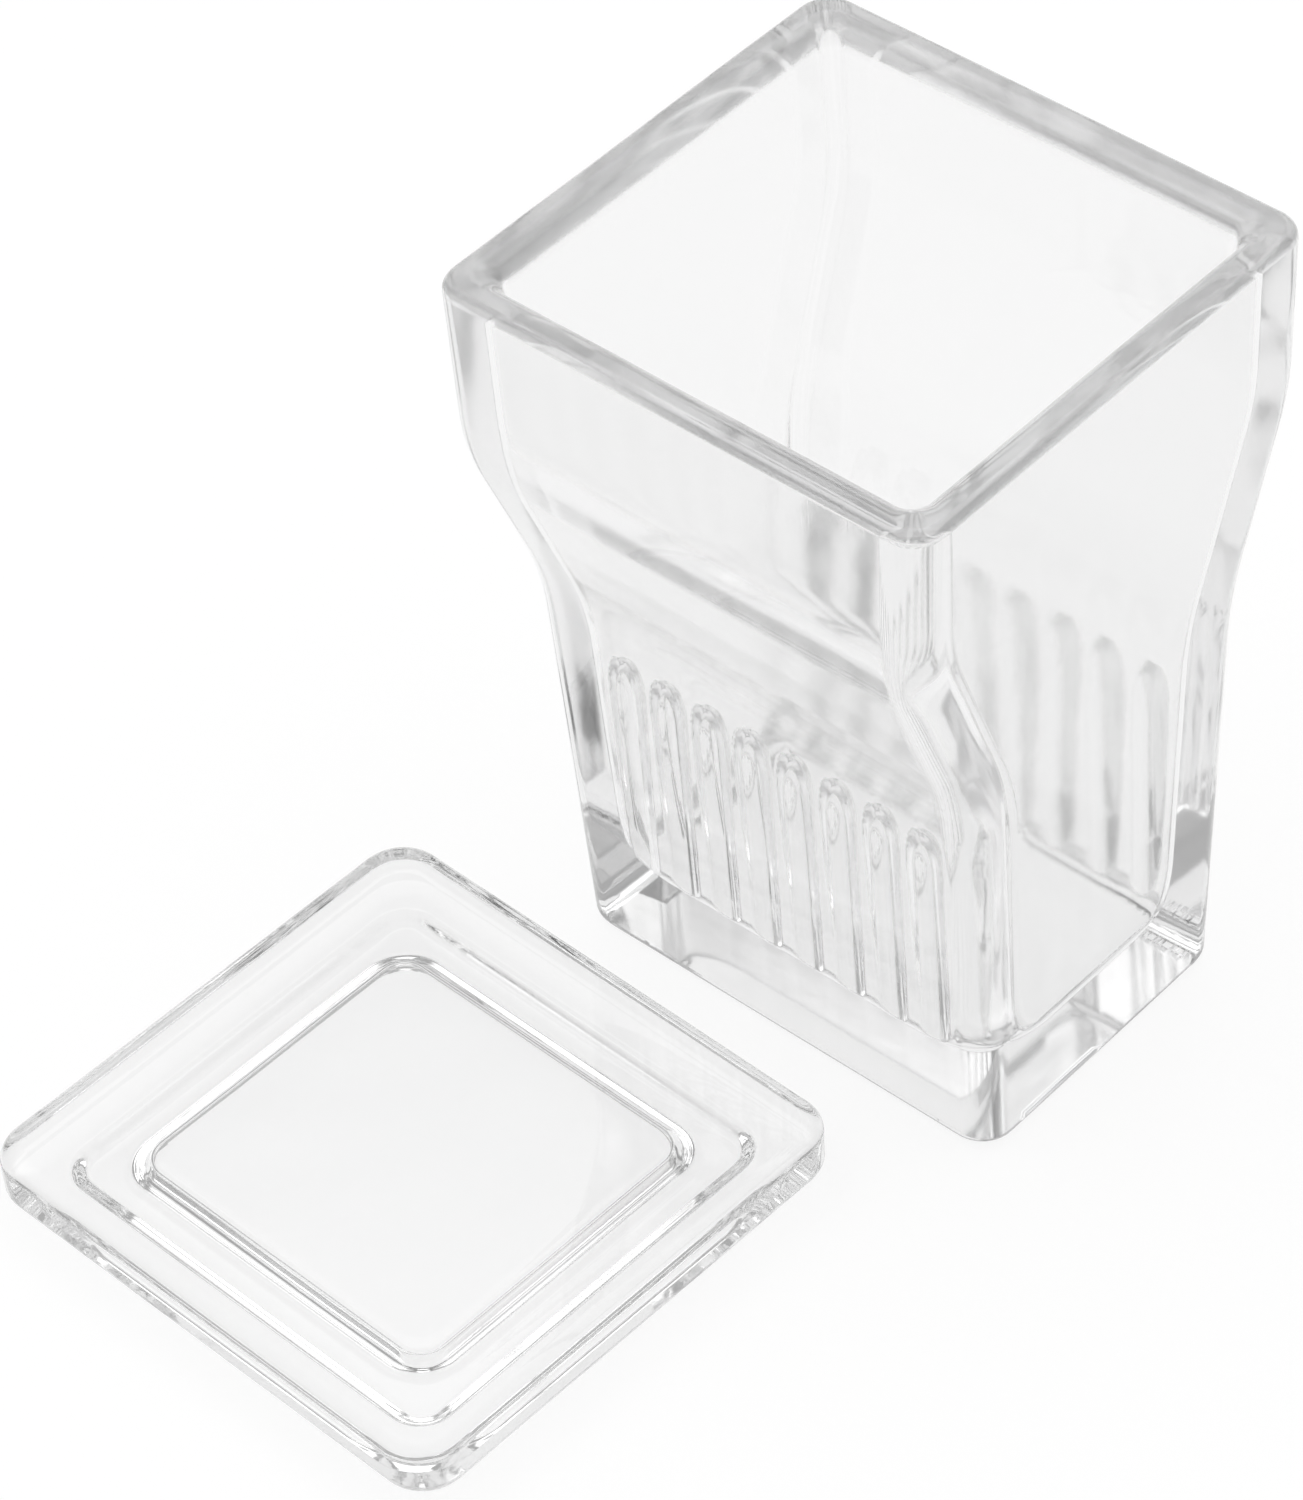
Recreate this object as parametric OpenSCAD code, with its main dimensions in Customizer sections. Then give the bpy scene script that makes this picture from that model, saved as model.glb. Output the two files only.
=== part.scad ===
// Slide staining jar: a pressed glass jar with a flared mouth and a ribbed well that holds
// microscope slides upright, with its loose glass lid lying beside it.
// Millimetres. +Z is up, and the origin is the middle of the jar's base.

/* [Jar outside] */
// Height of the jar to the top of its rim
jar_h = 95; // [88:0.5:110]
// Width of the jar at its foot, along X
foot_w = 56.6; // [54:0.2:62]
// Depth of the jar at its foot, along Y
foot_d = 38.4; // [36.4:0.2:42]
// Depth of the jar where the flare starts
waist_d = 42.6; // [40.6:0.2:46]
// Width of the jar at its rim, along X
rim_w = 62.1; // [58:0.1:70]
// Depth of the jar at the top of the flare
shoulder_d = 59.1; // [54:0.1:66]
// Depth of the jar at its rim, along Y
rim_d = 59.3; // [55:0.1:68]
// Height at which the sharp outline starts to flare
flare_z = 52.3; // [50:0.1:56]
// Height at which the sharp outline stops flaring
shoulder_z = 74.4; // [70:0.1:80]
// Radius of the bend at the foot of the flare
flare_r = 28; // [18:1:34]
// Radius of the bend at the shoulder
shoulder_r = 18; // [10:1:24]
// Radius of the four upright outer corners
corner_r = 3.7; // [2.5:0.1:5]
// Radius of the four corners of the base itself, in plan
foot_corner_r = 4.8; // [3:0.1:6]
// Rounding of the edge round the base
foot_r = 2; // [1:0.1:3]

/* [Jar inside] */
// Thickness of the glass under the floor
floor_t = 10; // [7:0.5:12]
// Thickness of the two plain walls, across X
end_wall = 4.8; // [4:0.1:6]
// Thickness of the two ribbed walls above the flare, across Y
side_wall = 4.95; // [4:0.05:6]
// Draft of the ribbed walls of the well, in degrees
well_draft = 2.45; // [1.5:0.05:3]
// Radius of the bend where the well opens into the flare
well_r = 18; // [10:1:24]
// Radius of the bend at the top of the flare, inside
neck_r = 8; // [4:1:14]
// Radius of the four upright inner corners
well_corner_r = 2; // [1.2:0.1:2.2]
// Radius between the floor and the walls
floor_r = 2.5; // [2:0.1:3.2]
// Radius of the floor's own four corners, in plan
floor_corner_r = 8; // [4:0.5:8]
// Height above the floor over which the inner corners grow to that radius
corner_rise = 8.5; // [5:0.5:10]
// Rounding of the rim's outer edge
rim_r = 1.3; // [0.6:0.1:1.8]
// Rounding of the rim's inner edge
lip_r = 3; // [1.5:0.1:3]

/* [Slide ribs] */
// Width of a microscope slide
slide_w = 26; // [25:0.1:26.4]
// Thickness of a microscope slide
slide_t = 1.1; // [1:0.05:1.3]
// Room beside a slide at the floor, on each side
slide_play = 0.35; // [0.2:0.05:0.5]
// Room in each slot beyond the thickness of a slide
slot_play = 0.2; // [0.1:0.05:0.4]
// How far the ribs reach past the edge of a slide
rib_bite = 0.6; // [0.4:0.05:0.8]
// Most ribs along each ribbed wall, where it is long enough for them
rib_count = 8; // [4:1:8]
// Width of a rib at its foot
rib_w = 4.4; // [3.6:0.1:4.5]
// Distance from the tops of the ribs up to the start of the flare inside
rib_drop = 3.9; // [1:0.1:8]
// Length of the domed end of a rib
rib_dome = 6; // [3:0.5:8]

/* [Lid] */
// How far the lid stands past the rim at each end, along X
lid_over_x = 1.5; // [0.5:0.05:3]
// How far the lid stands past the rim at each side, along Y
lid_over_y = 1.05; // [0.5:0.05:3]
// Thickness of the lid's plate
plate_t = 6.2; // [5:0.1:9]
// Height of the step under the plate that drops into the mouth
plug_h = 2; // [1.4:0.1:2.6]
// Width of the step's sloping side
plug_side = 2.8; // [2:0.1:3.2]
// Clearance between the step's lower end and the mouth, on each side
plug_play = 1.45; // [1:0.05:2]
// Width of the ring round the recess in the underside
ring_w = 2.9; // [2:0.1:5]
// Depth of the recess in the underside
recess_h = 4; // [2:0.1:4.5]
// Radius of the plate's four corners
lid_corner_r = 5.2; // [4:0.1:6]
// Radius of the step's four corners at its lower end
plug_corner_r = 2.5; // [1.5:0.1:4]
// Radius of the recess's four corners
recess_corner_r = 3.6; // [2.5:0.1:5]
// Rounding of the plate's upper edge
lid_top_r = 1; // [0.5:0.1:2.5]
// Rounding of the plate's lower edge
lid_under_r = 1.2; // [0.5:0.1:2.5]
// Rounding of the recess's lower edge
recess_edge_r = 1; // [0.5:0.1:1.2]
// Radius between the recess's walls and its roof
recess_roof_r = 2.8; // [1:0.1:3]
// Distance from the jar's foot to the edge of the lid beside it
lid_gap = 9.1; // [4:0.1:30]
// How far the lid lies to the side of the jar's middle, along X
lid_shift = -15.7; // [-30:0.1:30]
// Turn of the lid where it lies, in degrees
lid_turn = -1.9; // [-6:0.1:6]

/* [Hidden] */

// Steps in each kind of curve
arc_steps = 6;
bend_steps = 5;
edge_steps = 4;
rib_steps = 8;
dome_steps = 8;
wall_steps = 2;
corner_steps = 3;
step_steps = 6;
// Half the width at which a rib has run out into the wall
rib_least = 0.2;
// Least distance along X from a corner's arc to the first point of a ribbed side
side_gap = 0.3;

rib_pitch = rib_w + slide_t + slot_play;
// Half the distances between the crests of facing ribs, and between the ribbed walls at the floor
crest_half = slide_w / 2 - rib_bite;
well_half = slide_w / 2 + slide_play;
// Slope of the flare, from the outline
flare_tilt = atan((shoulder_d - waist_d) / 2 / (shoulder_z - flare_z));
lip_round = min(lip_r, end_wall - rim_r - 0.2, side_wall - rim_r - 0.2);
mouth_x = rim_w / 2 - end_wall;
mouth_y = rim_d / 2 - side_wall;

// ---- outlines: half widths at a height, through sharp points [height, half width]

function unit(v) = v / norm(v);

function on_line(p, q, z) = p[1] + (q[1] - p[1]) * (z - p[0]) / (q[0] - p[0]);

// Where the line from p at slope a crosses the line from q at slope b
function crossing(p, a, q, b) =
    let (z = (q[1] - p[1] + a * p[0] - b * q[0]) / (a - b))
    [z, p[1] + a * (z - p[0])];

// The arc of radius r that rounds the corner q between p and s: its start, end, centre and radius
function bend(p, q, s, r) =
    let (u = unit(p - q), v = unit(s - q), t = acos(u * v))
    [q + u * r / tan(t / 2), q + v * r / tan(t / 2), q + unit(u + v) * r / sin(t / 2), r];

function on_bend(b, z) =
    b[2][1] + sign(b[0][1] - b[2][1]) * sqrt(pow(b[3], 2) - pow(z - b[2][0], 2));

// Half width at height z of an outline of three lines and two bends
function outline(p, low, high, z) =
    z < low[0][0] ? on_line(p[0], p[1], z)
    : z < low[1][0] ? on_bend(low, z)
    : z < high[0][0] ? on_line(p[1], p[2], z)
    : z < high[1][0] ? on_bend(high, z)
    : on_line(p[2], p[3], z);

// Heights of the rings through a bend
function bend_heights(b) = [for (i = [0:bend_steps]) b[0][0] + (b[1][0] - b[0][0]) * i / bend_steps];

outer_pts = [[0, foot_d / 2], [flare_z, waist_d / 2], [shoulder_z, shoulder_d / 2], [jar_h, rim_d / 2]];
outer_low = bend(outer_pts[0], outer_pts[1], outer_pts[2], flare_r);
outer_high = bend(outer_pts[1], outer_pts[2], outer_pts[3], shoulder_r);

// The flare inside runs parallel to the one outside, down to the drafted wall of the well
neck_pt = [shoulder_z + side_wall * tan(flare_tilt / 2), shoulder_d / 2 - side_wall];
well_pt = crossing([floor_t, well_half], tan(well_draft), neck_pt, tan(flare_tilt));
inner_pts = [[floor_t, well_half], well_pt, neck_pt, [jar_h, mouth_y]];
inner_low = bend(inner_pts[0], inner_pts[1], inner_pts[2], well_r);
inner_high = bend(inner_pts[1], inner_pts[2], inner_pts[3], neck_r);

function outer_x(z) = (foot_w + (rim_w - foot_w) * z / jar_h) / 2;
function outer_y(z) = outline(outer_pts, outer_low, outer_high, z);
function inner_x(z) = outer_x(z) - end_wall;
function inner_y(z) = outline(inner_pts, inner_low, inner_high, z);

// ---- rings: rounded rectangles, each a list of its points and the number of points on a ribbed side

function arc(cx, cy, r, from, to) =
    [for (i = [0:arc_steps])
        let (a = from + (to - from) * i / arc_steps)
        [cx + r * cos(a), cy + r * sin(a)]];

// Angle at which a corner's arc ends, so that it stops short of a side whose first point is at x
function arc_end(hx, r, x) = acos(max(0, (x + side_gap - hx + r) / r));

function ring(hx, hy, r, z, side = []) =
    let (t = len(side) == 0 ? 90 : arc_end(hx, r, side[0][0]))
    let (flat = concat(arc(hx - r, hy - r, r, 0, t), side, arc(r - hx, hy - r, r, 180 - t, 180),
                       arc(r - hx, r - hy, r, 180, 180 + t), -side, arc(hx - r, r - hy, r, 360 - t, 360)))
    [[for (p = flat) [p[0], p[1], z]], len(side)];

// The six lines of point numbers round a ring whose first point is number s and whose sides have m points:
// corner, side, two corners, side, corner. Each starts where the one before it ends.
function lines(s, m) =
    let (c = arc_steps + 1)
    [span(s, c), span(s + c - 1, m + 2), span(s + c + m, 2 * c), span(s + 3 * c + m - 1, m + 2),
     span(s + 3 * c + 2 * m, c), [s + 4 * c + 2 * m - 1, s]];
function span(from, count) = [for (i = [0:1:count - 1]) from + i];

// Faces between a line of one ring and the same line of the next. Where a flat strip has ribs along
// one edge only, they fan out from the other edge.
function strip(a, b) =
    len(a) == len(b) ? [for (i = [0:1:len(a) - 2]) each [[a[i], b[i], b[i + 1]], [a[i], b[i + 1], a[i + 1]]]]
    : len(a) < len(b) ? concat([[a[1], a[0], b[0]]], [for (i = [0:1:len(b) - 2]) [a[1], b[i], b[i + 1]]])
    : concat([[b[0], b[1], a[0]]], [for (i = [0:1:len(a) - 2]) [b[1], a[i + 1], a[i]]]);
function reversed(v) = [for (i = [len(v) - 1:-1:0]) v[i]];

// A closed solid through the rings, with a flat end at the first and at the last
module skin(rings) {
    starts = [for (k = 0, s = 0; k < len(rings); s = s + len(rings[k][0]), k = k + 1) s];
    all_lines = [for (k = [0:len(rings) - 1]) lines(starts[k], rings[k][1])];
    last = len(rings) - 1;
    walls = [for (k = [1:last], i = [0:5]) each strip(all_lines[k - 1][i], all_lines[k][i])];
    ends = [span(0, len(rings[0][0])), reversed(span(starts[last], len(rings[last][0])))];
    polyhedron([for (r = rings) each r[0]], concat(ends, walls));
}

// ---- jar

// How far a quarter-round edge of radius r stands in from the side, and up from its lowest point, at angle a
function edge_in(r, a) = r * (1 - sin(a));
function edge_up(r, a) = r * (1 - cos(a));
edge_angles = [for (i = [0:edge_steps]) 90 * i / edge_steps];

function outer_ring(z, in = 0, r = corner_r) = ring(outer_x(z) - in, outer_y(z) - in, r, z);
function inner_ring(z, out = 0) = ring(inner_x(z) + out, inner_y(z) + out, well_corner_r + out / 2, z);

function jar_outside() = concat(
    [for (a = edge_angles)
        outer_ring(edge_up(foot_r, a), edge_in(foot_r, a), foot_corner_r + (corner_r - foot_corner_r) * sin(a))],
    [for (z = concat(bend_heights(outer_low), bend_heights(outer_high))) outer_ring(z)],
    [for (a = reversed(edge_angles))
        outer_ring(jar_h - edge_up(rim_r, a), edge_in(rim_r, a), corner_r - edge_in(rim_r, a) / 2)]);

function jar_neck() = concat(
    [for (a = edge_angles) inner_ring(jar_h - edge_up(lip_round, a), edge_in(lip_round, a))],
    [for (z = reversed(concat(bend_heights(inner_low), bend_heights(inner_high)))) inner_ring(z)]);

// Ribs: half-round bars down the wall, with upright crests and domed tops
rib_top = inner_low[0][0] - rib_drop;
rib_straight = rib_top - rib_dome;

// 1 below the dome, falling to 0 at the top as a quarter of an ellipse
function dome(z) = z < rib_straight ? 1 : sqrt(max(0, 1 - pow((z - rib_straight) / rib_dome, 2)));

// Half width of a rib that rises this far off the wall: a low one is the cap of a round bar
function rib_half(rise) = sqrt(pow(rib_w / 2, 2) - pow(max(0, rib_w / 2 - rise), 2));

// Radius of the well's corners at height z: it grows towards the floor as a quarter of an ellipse
corner_top = floor_t + corner_rise;
function well_r_at(z) =
    let (t = max(0, corner_top - z) / corner_rise)
    well_corner_r + (floor_corner_r - well_corner_r) * (1 - sqrt(max(0, 1 - t * t)));

// Where the wall of a ring is at x, round the corner as well
function wall_y(hx, hy, r, x) = hy - r + sqrt(pow(r, 2) - pow(max(0, abs(x) - hx + r), 2));

// Below this angle of the floor's fillet the ribs have run out
run_out = asin(1 - (well_half - crest_half) / floor_r);
rib_room = inner_x(floor_t) - edge_in(floor_r, run_out) - 2 * side_gap;
ribs = min(rib_count, 1 + floor((2 * rib_room - rib_w) / rib_pitch));

// A ring of the well at height z, drawn in by the floor's fillet, with its ribs
function rib_ring(z, in = 0) =
    let (x_half = inner_x(z) - in, y_half = inner_y(z) - in, r = well_r_at(z))
    let (rise = max(0, y_half - crest_half), half = max(rib_least, rib_half(rise) * dome(z)))
    let (side = [for (k = [ribs - 1:-1:0], i = [0:rib_steps])
        let (a = 180 * i / rib_steps, x = (k - (ribs - 1) / 2) * rib_pitch + half * cos(a))
        [x, min(wall_y(x_half, y_half, r, x), y_half - rise * dome(z) * sin(a))]])
    ring(x_half, y_half, r, z, side);

function jar_well() = concat(
    [for (i = [0:dome_steps]) rib_ring(rib_top - rib_dome * (1 - cos(90 * i / dome_steps)))],
    [for (i = [1:wall_steps]) rib_ring(rib_straight + (corner_top - rib_straight) * i / wall_steps)],
    [for (i = [1:corner_steps - 1])
        rib_ring(corner_top - (corner_rise - floor_r) * sin(90 * i / corner_steps))],
    [for (i = [0:edge_steps]) let (a = 90 + (run_out - 90) * i / edge_steps)
        rib_ring(floor_t + edge_up(floor_r, a), edge_in(floor_r, a))],
    [for (i = [1:edge_steps]) let (a = run_out * (1 - i / edge_steps))
        rib_ring(floor_t + edge_up(floor_r, a), edge_in(floor_r, a))]);

module jar() {
    color("azure", 0.4) skin(concat(jar_outside(), jar_neck(), jar_well()));
}

// ---- lid

lid_x = rim_w / 2 + lid_over_x;
lid_y = rim_d / 2 + lid_over_y;
plug_x = mouth_x - plug_play;
plug_y = mouth_y - plug_play;
lid_h = plug_h + plate_t;
top_round = min(lid_top_r, plate_t / 2 - 0.1);
under_round = min(lid_under_r, lid_x - plug_x - plug_side - 0.2, lid_y - plug_y - plug_side - 0.2);
roof_round = min(recess_roof_r, recess_h - recess_edge_r - 0.1, recess_corner_r - 0.5);

function plate_ring(z, in) = ring(lid_x - in, lid_y - in, lid_corner_r - in / 2, z);
function plug_ring(z, out) = ring(plug_x + out, plug_y + out, plug_corner_r + out / 2, z);
function recess_ring(z, out) = ring(plug_x - ring_w + out, plug_y - ring_w + out, recess_corner_r + out, z);

// From the roof of the recess down its wall, up the step's sloping side, out under the plate and up
// to its top
function lid_rings() = concat(
    [for (a = edge_angles) recess_ring(recess_h - edge_up(roof_round, a), -edge_in(roof_round, a))],
    [for (a = reversed(edge_angles)) recess_ring(edge_up(recess_edge_r, a), edge_in(recess_edge_r, a))],
    [for (i = [0:step_steps])
        plug_ring(plug_h * (1 - cos(180 * i / step_steps)) / 2, plug_side * i / step_steps)],
    [for (a = edge_angles) plate_ring(plug_h + edge_up(under_round, a), edge_in(under_round, a))],
    [for (a = reversed(edge_angles)) plate_ring(lid_h - edge_up(top_round, a), edge_in(top_round, a))]);

module lid() {
    translate([lid_shift, -foot_d / 2 - lid_gap - lid_y, 0])
        rotate([0, 0, lid_turn])
            color("azure", 0.4) skin(lid_rings());
}

jar();
lid();
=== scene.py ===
"""A pressed glass staining jar for microscope slides, with its loose glass lid lying beside it."""
from math import acos, asin, atan, cos, pi, radians, sin, sqrt, tan

import bmesh
import bpy
from mathutils import Matrix, Vector, noise


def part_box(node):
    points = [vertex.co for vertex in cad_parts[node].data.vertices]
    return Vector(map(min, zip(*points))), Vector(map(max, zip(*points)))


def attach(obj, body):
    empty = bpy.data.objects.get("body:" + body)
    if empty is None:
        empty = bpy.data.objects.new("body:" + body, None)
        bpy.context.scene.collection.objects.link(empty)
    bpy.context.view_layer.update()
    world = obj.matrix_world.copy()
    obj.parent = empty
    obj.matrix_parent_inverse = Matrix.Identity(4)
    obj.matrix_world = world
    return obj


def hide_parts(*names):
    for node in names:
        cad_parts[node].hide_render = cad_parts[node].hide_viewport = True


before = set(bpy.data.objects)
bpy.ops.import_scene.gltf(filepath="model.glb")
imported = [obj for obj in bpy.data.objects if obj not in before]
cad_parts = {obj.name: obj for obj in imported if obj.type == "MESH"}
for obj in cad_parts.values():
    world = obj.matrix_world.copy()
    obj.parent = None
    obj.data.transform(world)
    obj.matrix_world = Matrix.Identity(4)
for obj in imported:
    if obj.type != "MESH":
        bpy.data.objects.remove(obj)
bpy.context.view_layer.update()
scene = bpy.context.scene


# ---- The jar ---------------------------------------------------------------------------------
# One pressing of clear soda-lime glass: a thick foot, drafted walls, a flare on the two wide sides,
# an upright neck and a round, fire-polished rim. Half-round ribs with domed tops stand inside the
# two wide walls and keep the slides apart. All sizes in this section are in millimetres.

MM = 0.001
jar_low, jar_top = (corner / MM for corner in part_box("jar"))
jar_h = jar_top.z
foot_round, rim_out, rim_in = 2.0, 1.3, 3.0
foot_x, foot_y, waist_y, shoulder_y, rim_y = 28.3, 19.2, 21.3, 29.55, 29.65
flare_z, shoulder_z = 52.3, 74.4
waist_bend, shoulder_bend, well_bend, neck_bend = 34, 26, 32, 24
side_draft = (jar_top.x - foot_x) / (jar_h - rim_out)
end_wall, side_wall = 4.8, 4.95
floor_z, floor_round, well_y, draft = 10.0, 2.5, 13.35, tan(radians(2.45))
crest_y, rib_count, rib_r, rib_pitch = 12.4, 8, 2.2, 5.7
rib_drop, rib_dome, rib_blend = 1.7, 6.0, 0.22
outer_corner, base_corner, well_corner = 3.7, 4.8, 2.0
floor_corner, corner_rise = 8.0, 8.5
corner_top = floor_z + corner_rise


def bend(p, q, s, r):
    """The arc that rounds the corner q of an outline of (height, half width) points."""
    u, v = (p - q).normalized(), (s - q).normalized()
    half_turn = u.angle(v) / 2
    start, end = q + u * r / tan(half_turn), q + v * r / tan(half_turn)
    return start, end, q + (u + v).normalized() * r / sin(half_turn), r


def outline(points, radii):
    """The half width of a wall at a height, through sharp points joined by rounded corners."""
    points = [Vector(p) for p in points]
    bends = [bend(*points[i:i + 3], radii[i]) for i in range(len(radii))]

    def half(z):
        for start, end, centre, r in bends:
            if start.x <= z <= end.x:
                side = 1 if start.y > centre.y else -1
                return centre.y + side * sqrt(r * r - (z - centre.x) ** 2)
        pairs = zip(points, points[1:])
        p, q = next((p, q) for p, q in pairs if z <= q.x or q is points[-1])
        return p.y + (q.y - p.y) * (z - p.x) / (q.x - p.x)

    return half, bends


flare = (shoulder_y - waist_y) / (shoulder_z - flare_z)
outer_y, outer_bends = outline(
    [(0, foot_y), (flare_z, waist_y), (shoulder_z, shoulder_y), (jar_h, rim_y)],
    [waist_bend, shoulder_bend])
neck_z = shoulder_z + side_wall * tan(atan(flare) / 2)
neck_y = shoulder_y - side_wall
well_z = (neck_y - flare * neck_z - well_y + draft * floor_z) / (draft - flare)
well_top_y = well_y + draft * (well_z - floor_z)
inner_y, inner_bends = outline(
    [(floor_z, well_y), (well_z, well_top_y), (neck_z, neck_y), (jar_h, rim_y - side_wall)],
    [well_bend, neck_bend])
rib_top = inner_bends[0][0].x - rib_drop
rib_straight = rib_top - rib_dome


def outer_x(z):
    return foot_x + side_draft * z


def spread(a, b, count):
    """count values from a to b, both ends included."""
    return [a + (b - a) * i / (count - 1) for i in range(count)]


# Where the upright lines of the mesh cross a ribbed wall: closer together at the feet of each rib
RIB_CUTS, CORNER_CUTS, PLAIN_CUTS = 20, 10, 14
rib_reach = 1.12
rib_centres = [rib_pitch * ((rib_count - 1) / 2 - k) for k in range(rib_count)]
columns = [x + rib_reach * rib_r * cos(pi * i / RIB_CUTS)
           for x in rib_centres for i in range(RIB_CUTS + 1)]
corner_lap = 0.4


def rib_height(x, y, z):
    """How far a rib stands off the wall at x, where the wall is y out from the middle."""
    rise = y - crest_y
    if rise <= 0 or z > rib_top:
        return 0.0
    across = min(abs(x - c) for c in rib_centres) / rib_r
    up = max(0.0, (z - rib_straight) / rib_dome)
    inside = 1 - across ** 2 - up ** 2
    bar = sqrt(inside) if inside > 0 else inside * 2
    height = rise * bar if rise > rib_r else rib_r * bar - (rib_r - rise)
    # a small fillet of rib_blend runs round the rib's foot
    return max(height, 0) + max(rib_blend - abs(height), 0) ** 2 / (4 * rib_blend)


def oblong(half_x, half_y, r, z, ribbed=False):
    """One level ring of the jar: four corner arcs, two plain sides and two ribbed sides."""
    flat_x, flat_y = half_x - r, half_y - r
    # a wide corner gives way to the ribbed side half way round its arc
    edge = min(columns[0], half_x - r * (1 - cos(pi / 4)))
    turn = acos(min(1, max(0, (edge + corner_lap - flat_x) / r)))
    corner = [(flat_x + r * cos(a), flat_y + r * sin(a))
              for a in spread(0, turn, CORNER_CUTS + 1)]
    wall = []
    for x in (c * edge / columns[0] for c in columns):
        y = flat_y + sqrt(r * r - max(0, abs(x) - flat_x) ** 2)
        wall.append((x, min(y, half_y - rib_height(x, half_y, z)) if ribbed else y))
    plain = [(-half_x, y) for y in spread(flat_y, -flat_y, PLAIN_CUTS + 1)[1:-1]]
    half = corner + wall + [(-x, y) for x, y in reversed(corner)] + plain
    return [Vector((x, y, z)) for x, y in half] + [Vector((-x, -y, z)) for x, y in half]


def skin(rings):
    """A closed mesh through the rings: a circle, then each ring extruded from the one before."""
    bm = bmesh.new()
    ring = bmesh.ops.create_circle(bm, segments=len(rings[0]), radius=1)["verts"]
    for number, points in enumerate(rings):
        if number:
            edges = [bm.edges.get(pair) for pair in zip(ring, ring[1:] + ring[:1])]
            made = set(bmesh.ops.extrude_edge_only(bm, edges=edges)["geom"])
            ring = [next(e.other_vert(v) for e in v.link_edges if e.other_vert(v) in made)
                    for v in ring]
        for v, point in zip(ring, points):
            v.co = point
    bmesh.ops.holes_fill(bm, edges=[e for e in bm.edges if e.is_boundary], sides=0)
    # the smallest rings have sharp corners, where all the points of an arc are one
    bmesh.ops.remove_doubles(bm, verts=bm.verts, dist=MM / 10)
    bmesh.ops.recalc_face_normals(bm, faces=bm.faces)
    return bm


def quarter(r, count=9):
    """(in, up) steps round a quarter-round edge of radius r, from its flat to its upright end."""
    return [(r * (1 - sin(a)), r * (1 - cos(a))) for a in spread(0, pi / 2, count)]


def jar_rings():
    rings = []

    def outside(z, inset=0.0, r=outer_corner):
        rings.append(oblong(outer_x(z) - inset, outer_y(z) - inset, r, z))

    def inside(z, inset=0.0, r=well_corner, ribbed=False):
        rings.append(oblong(outer_x(z) - end_wall - inset, inner_y(z) - inset, r, z, ribbed))

    def near_floor(z):
        """The corners' radius: it grows towards the floor as a quarter of an ellipse."""
        drop = max(0, corner_top - z) / corner_rise
        return well_corner + (floor_corner - well_corner) * (1 - sqrt(max(0, 1 - drop * drop)))

    for share in spread(0.05, 0.93, 8):
        rings.append(oblong(foot_x * share, foot_y * share, base_corner * share, 0))
    for inset, up in quarter(foot_round):
        outside(up, inset, outer_corner + (base_corner - outer_corner) * inset / foot_round)
    bends = [z for start, end, _, _ in outer_bends for z in spread(start.x, end.x, 12)]
    between = spread(6, 44, 9) + [60, 64, 68, 82, 87]
    for z in sorted(bends + between):
        outside(z)
    for inset, up in reversed(quarter(rim_out, 10)):
        outside(jar_h - up, inset, outer_corner - inset / 2)
    for inset, up in quarter(rim_in, 12):
        inside(jar_h - up, -inset, well_corner + inset / 2)
    bends = [z for start, end, _, _ in inner_bends for z in spread(start.x, end.x, 12)]
    between = [57, 61, 65, 69, 83, 88]
    for z in sorted(bends + between, reverse=True):
        inside(z)
    dome = [rib_straight + rib_dome * cos(a) for a in spread(0, pi / 2, 22)]
    well = spread(rib_straight, corner_top, 7)[1:]
    for z in dome + well + spread(corner_top, floor_z + floor_round, 9)[1:-1]:
        inside(z, 0, near_floor(z), True)
    run_out = asin(1 - (well_y - crest_y) / floor_round)
    for a in spread(pi / 2, run_out, 9) + spread(run_out, 0, 9)[1:]:
        z = floor_z + floor_round * (1 - cos(a))
        inside(z, floor_round * (1 - sin(a)), near_floor(z), a >= run_out)
    floor_x, floor_y = outer_x(floor_z) - end_wall - floor_round, well_y - floor_round
    for share in spread(0.93, 0.05, 7):
        rings.append(oblong(floor_x * share, floor_y * share, floor_corner * share, floor_z))
    return rings


def ripple(bm, depth, size, seed):
    """Chill waves: the skin sinks by up to depth over waves of the given size, but not at z = 0."""
    bm.normal_update()
    still_height = 4
    shift = Vector((seed, 2.3 * seed, 4.1 * seed))
    for v in bm.verts:
        wave = noise.noise(v.co / size + shift)
        ground = min(1.0, v.co.z / still_height)
        v.co -= v.normal * depth * ground * (0.5 + 0.5 * wave)


def glass_piece(name, bm, material):
    """A glass mesh in metres, smooth, with its flats kept flat beside their rounded edges."""
    bmesh.ops.scale(bm, vec=(MM, MM, MM), verts=bm.verts)
    mesh = bpy.data.meshes.new(name)
    for face in bm.faces:
        face.smooth = True
    bm.to_mesh(mesh)
    bm.free()
    piece = bpy.data.objects.new(name, mesh)
    scene.collection.objects.link(piece)
    mesh.materials.append(material)
    flats = piece.modifiers.new("flats", "WEIGHTED_NORMAL")
    flats.mode = "FACE_AREA"
    flats.weight = 100
    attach(piece, "root")
    return piece


glass_tint, glass_index, glass_soak = (0.95, 0.95, 0.95), 1.52, 3.0


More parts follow.
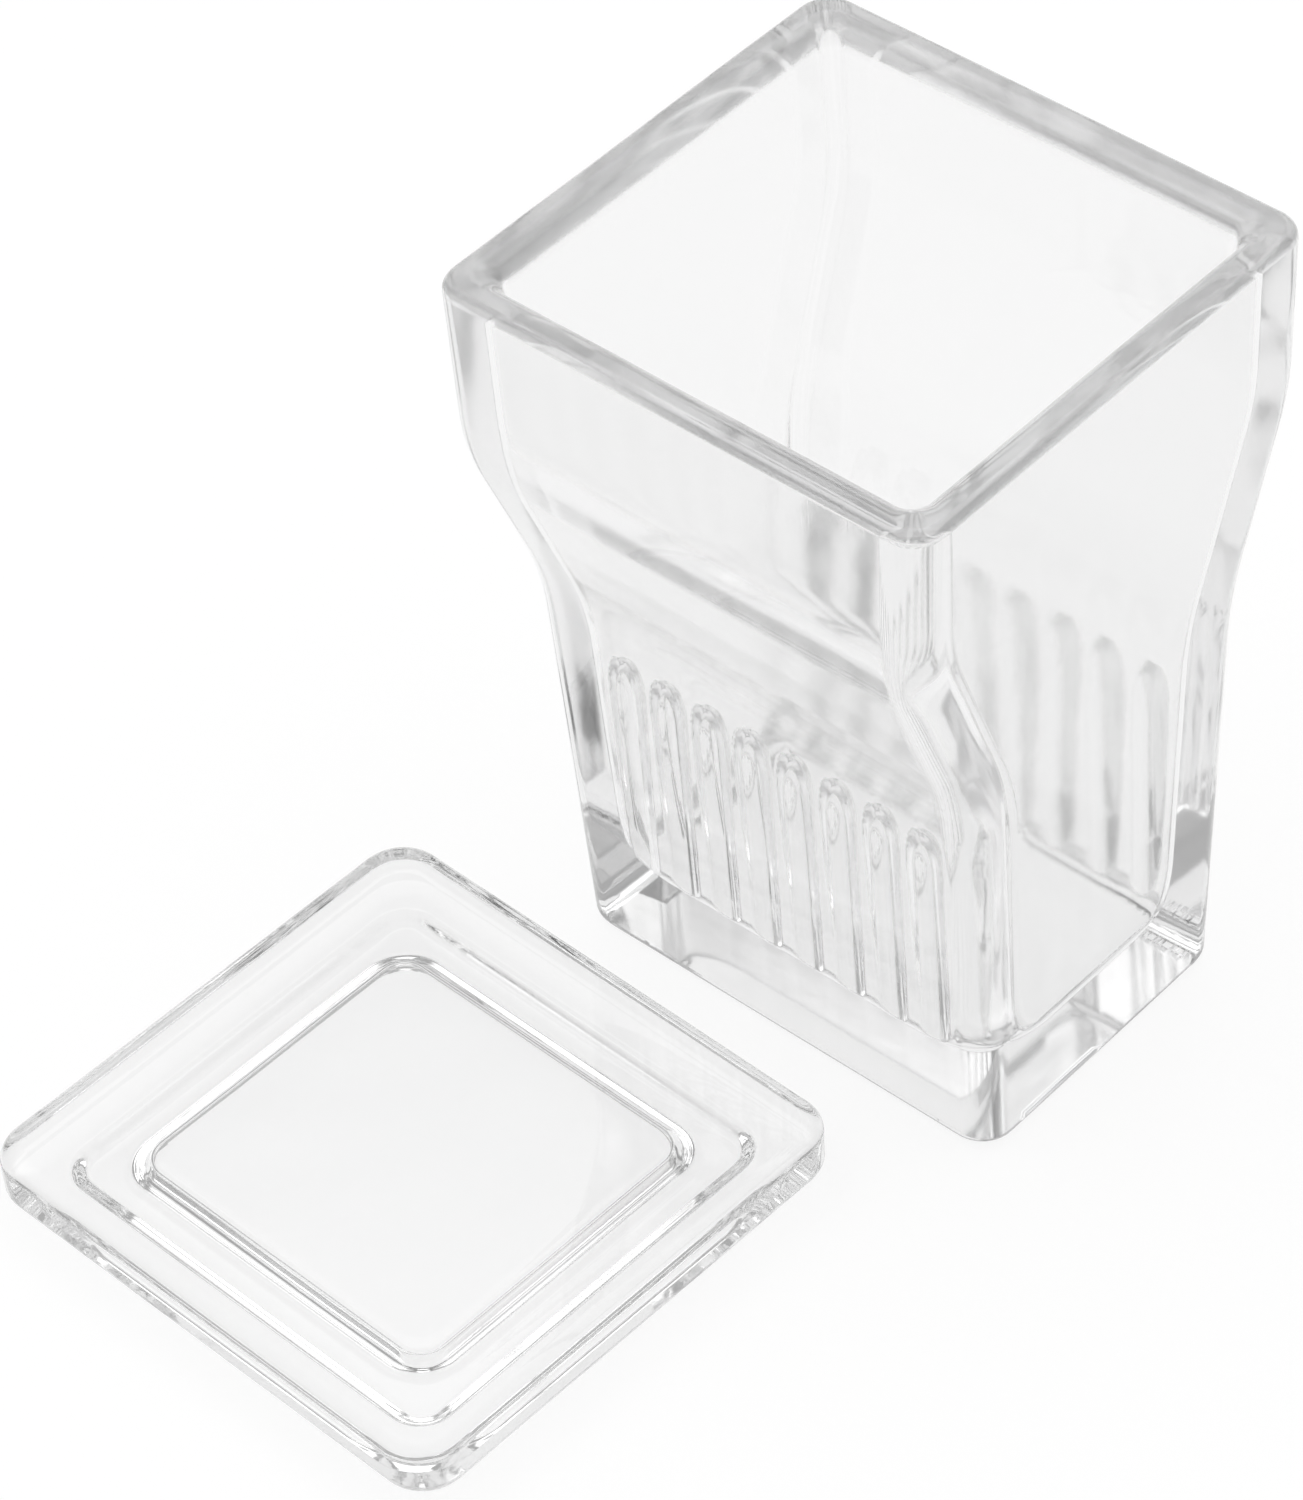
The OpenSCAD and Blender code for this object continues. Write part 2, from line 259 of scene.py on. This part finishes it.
def clear_glass(name, tint, haze, wave_size, wave_depth):
    """Clear pressed glass: faintly hazy and wavy, and a little grey where light goes far in it."""
    material = bpy.data.materials.new(name)
    material.use_nodes = True
    nodes, links = material.node_tree.nodes, material.node_tree.links
    shader = nodes["Principled BSDF"]
    shader.inputs["Base Color"].default_value = (*tint, 1)
    shader.inputs["Roughness"].default_value = haze
    shader.inputs["IOR"].default_value = glass_index
    shader.inputs["Transmission Weight"].default_value = 1.0
    soak = nodes.new("ShaderNodeVolumeAbsorption")
    soak.inputs["Color"].default_value = (0.5, 0.5, 0.5, 1)
    soak.inputs["Density"].default_value = glass_soak
    links.new(soak.outputs["Volume"], nodes["Material Output"].inputs["Volume"])
    place = nodes.new("ShaderNodeTexCoord")
    waves = nodes.new("ShaderNodeTexNoise")
    waves.inputs["Scale"].default_value = 1 / wave_size
    waves.inputs["Detail"].default_value = 2.0
    links.new(place.outputs["Object"], waves.inputs["Vector"])
    bump = nodes.new("ShaderNodeBump")
    bump.inputs["Strength"].default_value = 1.0
    bump.inputs["Distance"].default_value = wave_depth
    links.new(waves.outputs["Fac"], bump.inputs["Height"])
    links.new(bump.outputs["Normal"], shader.inputs["Normal"])
    return material


jar_mesh = skin(jar_rings())
ripple(jar_mesh, depth=0.08, size=14.0, seed=3.7)
jar_finish = clear_glass("jar_glass", glass_tint, haze=0.07, wave_size=0.006, wave_depth=0.00001)
jar = glass_piece("jar_glass", jar_mesh, jar_finish)
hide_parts("jar")


# ---- The lid ---------------------------------------------------------------------------------
# A thick pressed plate with rounded edges. Under it a low step drops into the jar's mouth, and the
# step is hollowed by a shallow recess. It lies beside the jar with its top up.

lid_low, lid_high = (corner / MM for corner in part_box("lid"))
lid_middle = (lid_low + lid_high) / 2
lid_turn = radians(-1.9)
lid_h = lid_high.z
plate_x, plate_y, plate_corner = 32.55, 30.7, 5.2
step_x, step_y, step_corner, step_h = 26.2, 24.65, 3.2, 2.0
recess_x, recess_y, recess_corner, recess_h = 21.9, 20.35, 4.2, 4.0
top_round, top_squash, under_round, edge_round = 2.4, 0.5, 1.8, 2.0
step_side = 2.2
roof_round, recess_lean = 0.8, 1.0


def panel(half_x, half_y, r, z):
    """One level ring of the lid: a rounded rectangle with evenly divided sides."""
    points = []
    for sx, sy, start in ((1, 1, 0), (-1, 1, 90), (-1, -1, 180), (1, -1, 270)):
        cx, cy = sx * (half_x - r), sy * (half_y - r)
        points += [(cx + r * cos(radians(a)), cy + r * sin(radians(a)))
                   for a in spread(start, start + 90, 13)]
        nx, ny = (-cx, cy) if start in (0, 180) else (cx, -cy)
        turned = radians(start + 90)
        (x, y), end_x, end_y = points[-1], nx + r * cos(turned), ny + r * sin(turned)
        points += [(x + (end_x - x) * t, y + (end_y - y) * t) for t in spread(0, 1, 21)[1:-1]]
    return [Vector((x, y, z)) for x, y in points]


def lid_rings():
    rings = []

    def ring(half_x, half_y, r, z, inset):
        rings.append(panel(half_x - inset, half_y - inset, r - inset, z))

    def flat(half_x, half_y, r, z, shares):
        for share in shares:
            rings.append(panel(half_x * share, half_y * share, r * share, z))

    roof_in = roof_round + recess_lean
    flat(recess_x - roof_in, recess_y - roof_in, recess_corner - roof_in, recess_h,
         spread(0.05, 0.95, 9))
    for inset, up in quarter(roof_round, 6):
        ring(recess_x, recess_y, recess_corner, recess_h - up, inset + recess_lean)
    for inset, up in reversed(quarter(edge_round, 6)):
        ring(recess_x, recess_y, recess_corner, up, -inset)
    for share in spread(0, 1, 13):
        up = step_h * (1 - cos(pi * share)) / 2
        ring(step_x, step_y, step_corner, up, step_side * (0.5 - share))
    for inset, up in quarter(under_round, 10):
        ring(plate_x, plate_y, plate_corner, step_h + up, inset)
    for inset, up in reversed(quarter(top_round, 10)):
        ring(plate_x, plate_y, plate_corner, lid_h - up * top_squash, inset)
    flat(plate_x - top_round, plate_y - top_round, plate_corner - top_round, lid_h,
         spread(0.95, 0.05, 12))
    return rings


lid_mesh = skin(lid_rings())
ripple(lid_mesh, depth=0.06, size=9.0, seed=8.1)
lid_place = Matrix.Translation((lid_middle.x, lid_middle.y, 0)) @ Matrix.Rotation(lid_turn, 4, "Z")
bmesh.ops.transform(lid_mesh, matrix=lid_place, verts=lid_mesh.verts)
lid_finish = clear_glass("lid_glass", glass_tint, haze=0.03, wave_size=0.0015,
                         wave_depth=0.000004)
lid = glass_piece("lid_glass", lid_mesh, lid_finish)
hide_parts("lid")


# ---- Camera ----------------------------------------------------------------------------------
# A long lens looking down on the jar's +X -Y corner from about half way up, rolled a little.

azimuth, elevation, roll = radians(45.05), radians(44.4), radians(-4.74)
aim_right, aim_up, distance = -24.81, -12.14, 597.97
back = Vector((sin(azimuth) * cos(elevation), -cos(azimuth) * cos(elevation), sin(elevation)))
right = Vector((cos(azimuth), sin(azimuth), 0))
up = back.cross(right)
aim = right * aim_right + up * aim_up + Vector((0, 0, jar_h / 2))
stand = (aim + back * distance) * MM
rolled_right = right * cos(roll) + up * sin(roll)
rolled_up = up * cos(roll) - right * sin(roll)
camera_data = bpy.data.cameras.new("camera")
camera_data.lens = 140.98
camera_data.sensor_width = 36
camera_data.clip_start = 0.02
camera_data.clip_end = 20
camera = bpy.data.objects.new("camera", camera_data)
camera.matrix_world = Matrix((rolled_right, rolled_up, back)).transposed().to_4x4()
camera.location = stand
scene.collection.objects.link(camera)
scene.camera = camera


# ---- Bench and studio ------------------------------------------------------------------------
# A white bench under the jar, and a bright white room with a darker side where the camera stands,
# which is what draws the dark lines in clear glass.

bench_half, bench_gap, paper_grey, paper_glow = 3.0, 0.00003, 0.13, 0.89
bench_mesh = bpy.data.meshes.new("bench")
bm = bmesh.new()
bmesh.ops.create_grid(bm, x_segments=1, y_segments=1, size=bench_half)
bmesh.ops.translate(bm, vec=(0, 0, -bench_gap), verts=bm.verts)
bm.to_mesh(bench_mesh)
bm.free()
bench = bpy.data.objects.new("bench", bench_mesh)
scene.collection.objects.link(bench)
paper = bpy.data.materials.new("bench_paper")
paper.use_nodes = True
nodes, links = paper.node_tree.nodes, paper.node_tree.links
shader = nodes["Principled BSDF"]
shader.inputs["Base Color"].default_value = (paper_grey, paper_grey, paper_grey, 1)
shader.inputs["Roughness"].default_value = 1.0
shader.inputs["Specular IOR Level"].default_value = 0.0
shader.inputs["Emission Color"].default_value = (1, 1, 1, 1)


def seen_rays(nodes, links):
    """1 for the rays that show the background: straight, mirrored or through glass."""
    path = nodes.new("ShaderNodeLightPath")
    either = nodes.new("ShaderNodeMath")
    either.operation = "MAXIMUM"
    links.new(path.outputs["Is Camera Ray"], either.inputs[0])
    links.new(path.outputs["Is Glossy Ray"], either.inputs[1])
    seen = nodes.new("ShaderNodeMath")
    seen.operation = "MAXIMUM"
    links.new(either.outputs[0], seen.inputs[0])
    links.new(path.outputs["Is Transmission Ray"], seen.inputs[1])
    return path, seen


path, seen = seen_rays(nodes, links)
glow = nodes.new("ShaderNodeMath")
glow.operation = "MULTIPLY"
glow.inputs[1].default_value = paper_glow
links.new(seen.outputs[0], glow.inputs[0])
links.new(glow.outputs[0], shader.inputs["Emission Strength"])
bench_mesh.materials.append(paper)

world = bpy.data.worlds.new("studio")
scene.world = world
world.use_nodes = True
nodes, links = world.node_tree.nodes, world.node_tree.links
sky = nodes["Background"]
sky.inputs["Color"].default_value = (1, 1, 1, 1)
direction = nodes.new("ShaderNodeTexCoord")


def facing(vector, near, far, low, high):
    """low within near degrees of a direction, high beyond far degrees, smooth between."""
    dot = nodes.new("ShaderNodeVectorMath")
    dot.operation = "DOT_PRODUCT"
    dot.inputs[1].default_value = vector
    links.new(direction.outputs["Generated"], dot.inputs[0])
    ramp = nodes.new("ShaderNodeMapRange")
    ramp.interpolation_type = "SMOOTHSTEP"
    ramp.inputs["From Min"].default_value = cos(radians(far))
    ramp.inputs["From Max"].default_value = cos(radians(near))
    ramp.inputs["To Min"].default_value = high
    ramp.inputs["To Max"].default_value = low
    links.new(dot.outputs["Value"], ramp.inputs["Value"])
    return ramp


patch = facing(back, near=20, far=36, low=0.3, high=1.0)
split = nodes.new("ShaderNodeSeparateXYZ")
links.new(direction.outputs["Generated"], split.inputs[0])
# overhead: from the level of the room's sides, low down, to that of the soft box near the zenith
room_level, box_level, box_edge, box_full = 0.38, 1.8, 0.65, 0.85
soft_box = nodes.new("ShaderNodeMapRange")
soft_box.interpolation_type = "SMOOTHSTEP"
soft_box.inputs["From Min"].default_value = box_edge
soft_box.inputs["From Max"].default_value = box_full
soft_box.inputs["To Min"].default_value = room_level
soft_box.inputs["To Max"].default_value = box_level
links.new(split.outputs["Z"], soft_box.inputs["Value"])
room = nodes.new("ShaderNodeMath")
room.operation = "MULTIPLY"
links.new(patch.outputs[0], room.inputs[0])
links.new(soft_box.outputs[0], room.inputs[1])
path = nodes.new("ShaderNodeLightPath")
shown = nodes.new("ShaderNodeMath")
shown.operation = "MAXIMUM"
links.new(room.outputs[0], shown.inputs[0])
links.new(path.outputs["Is Camera Ray"], shown.inputs[1])
links.new(shown.outputs[0], sky.inputs["Strength"])

scene.view_settings.view_transform = "Standard"
scene.cycles.max_bounces = 32
scene.cycles.transmission_bounces = 32
scene.cycles.glossy_bounces = 32
scene.cycles.diffuse_bounces = 1
world.cycles.sampling_method = "NONE"
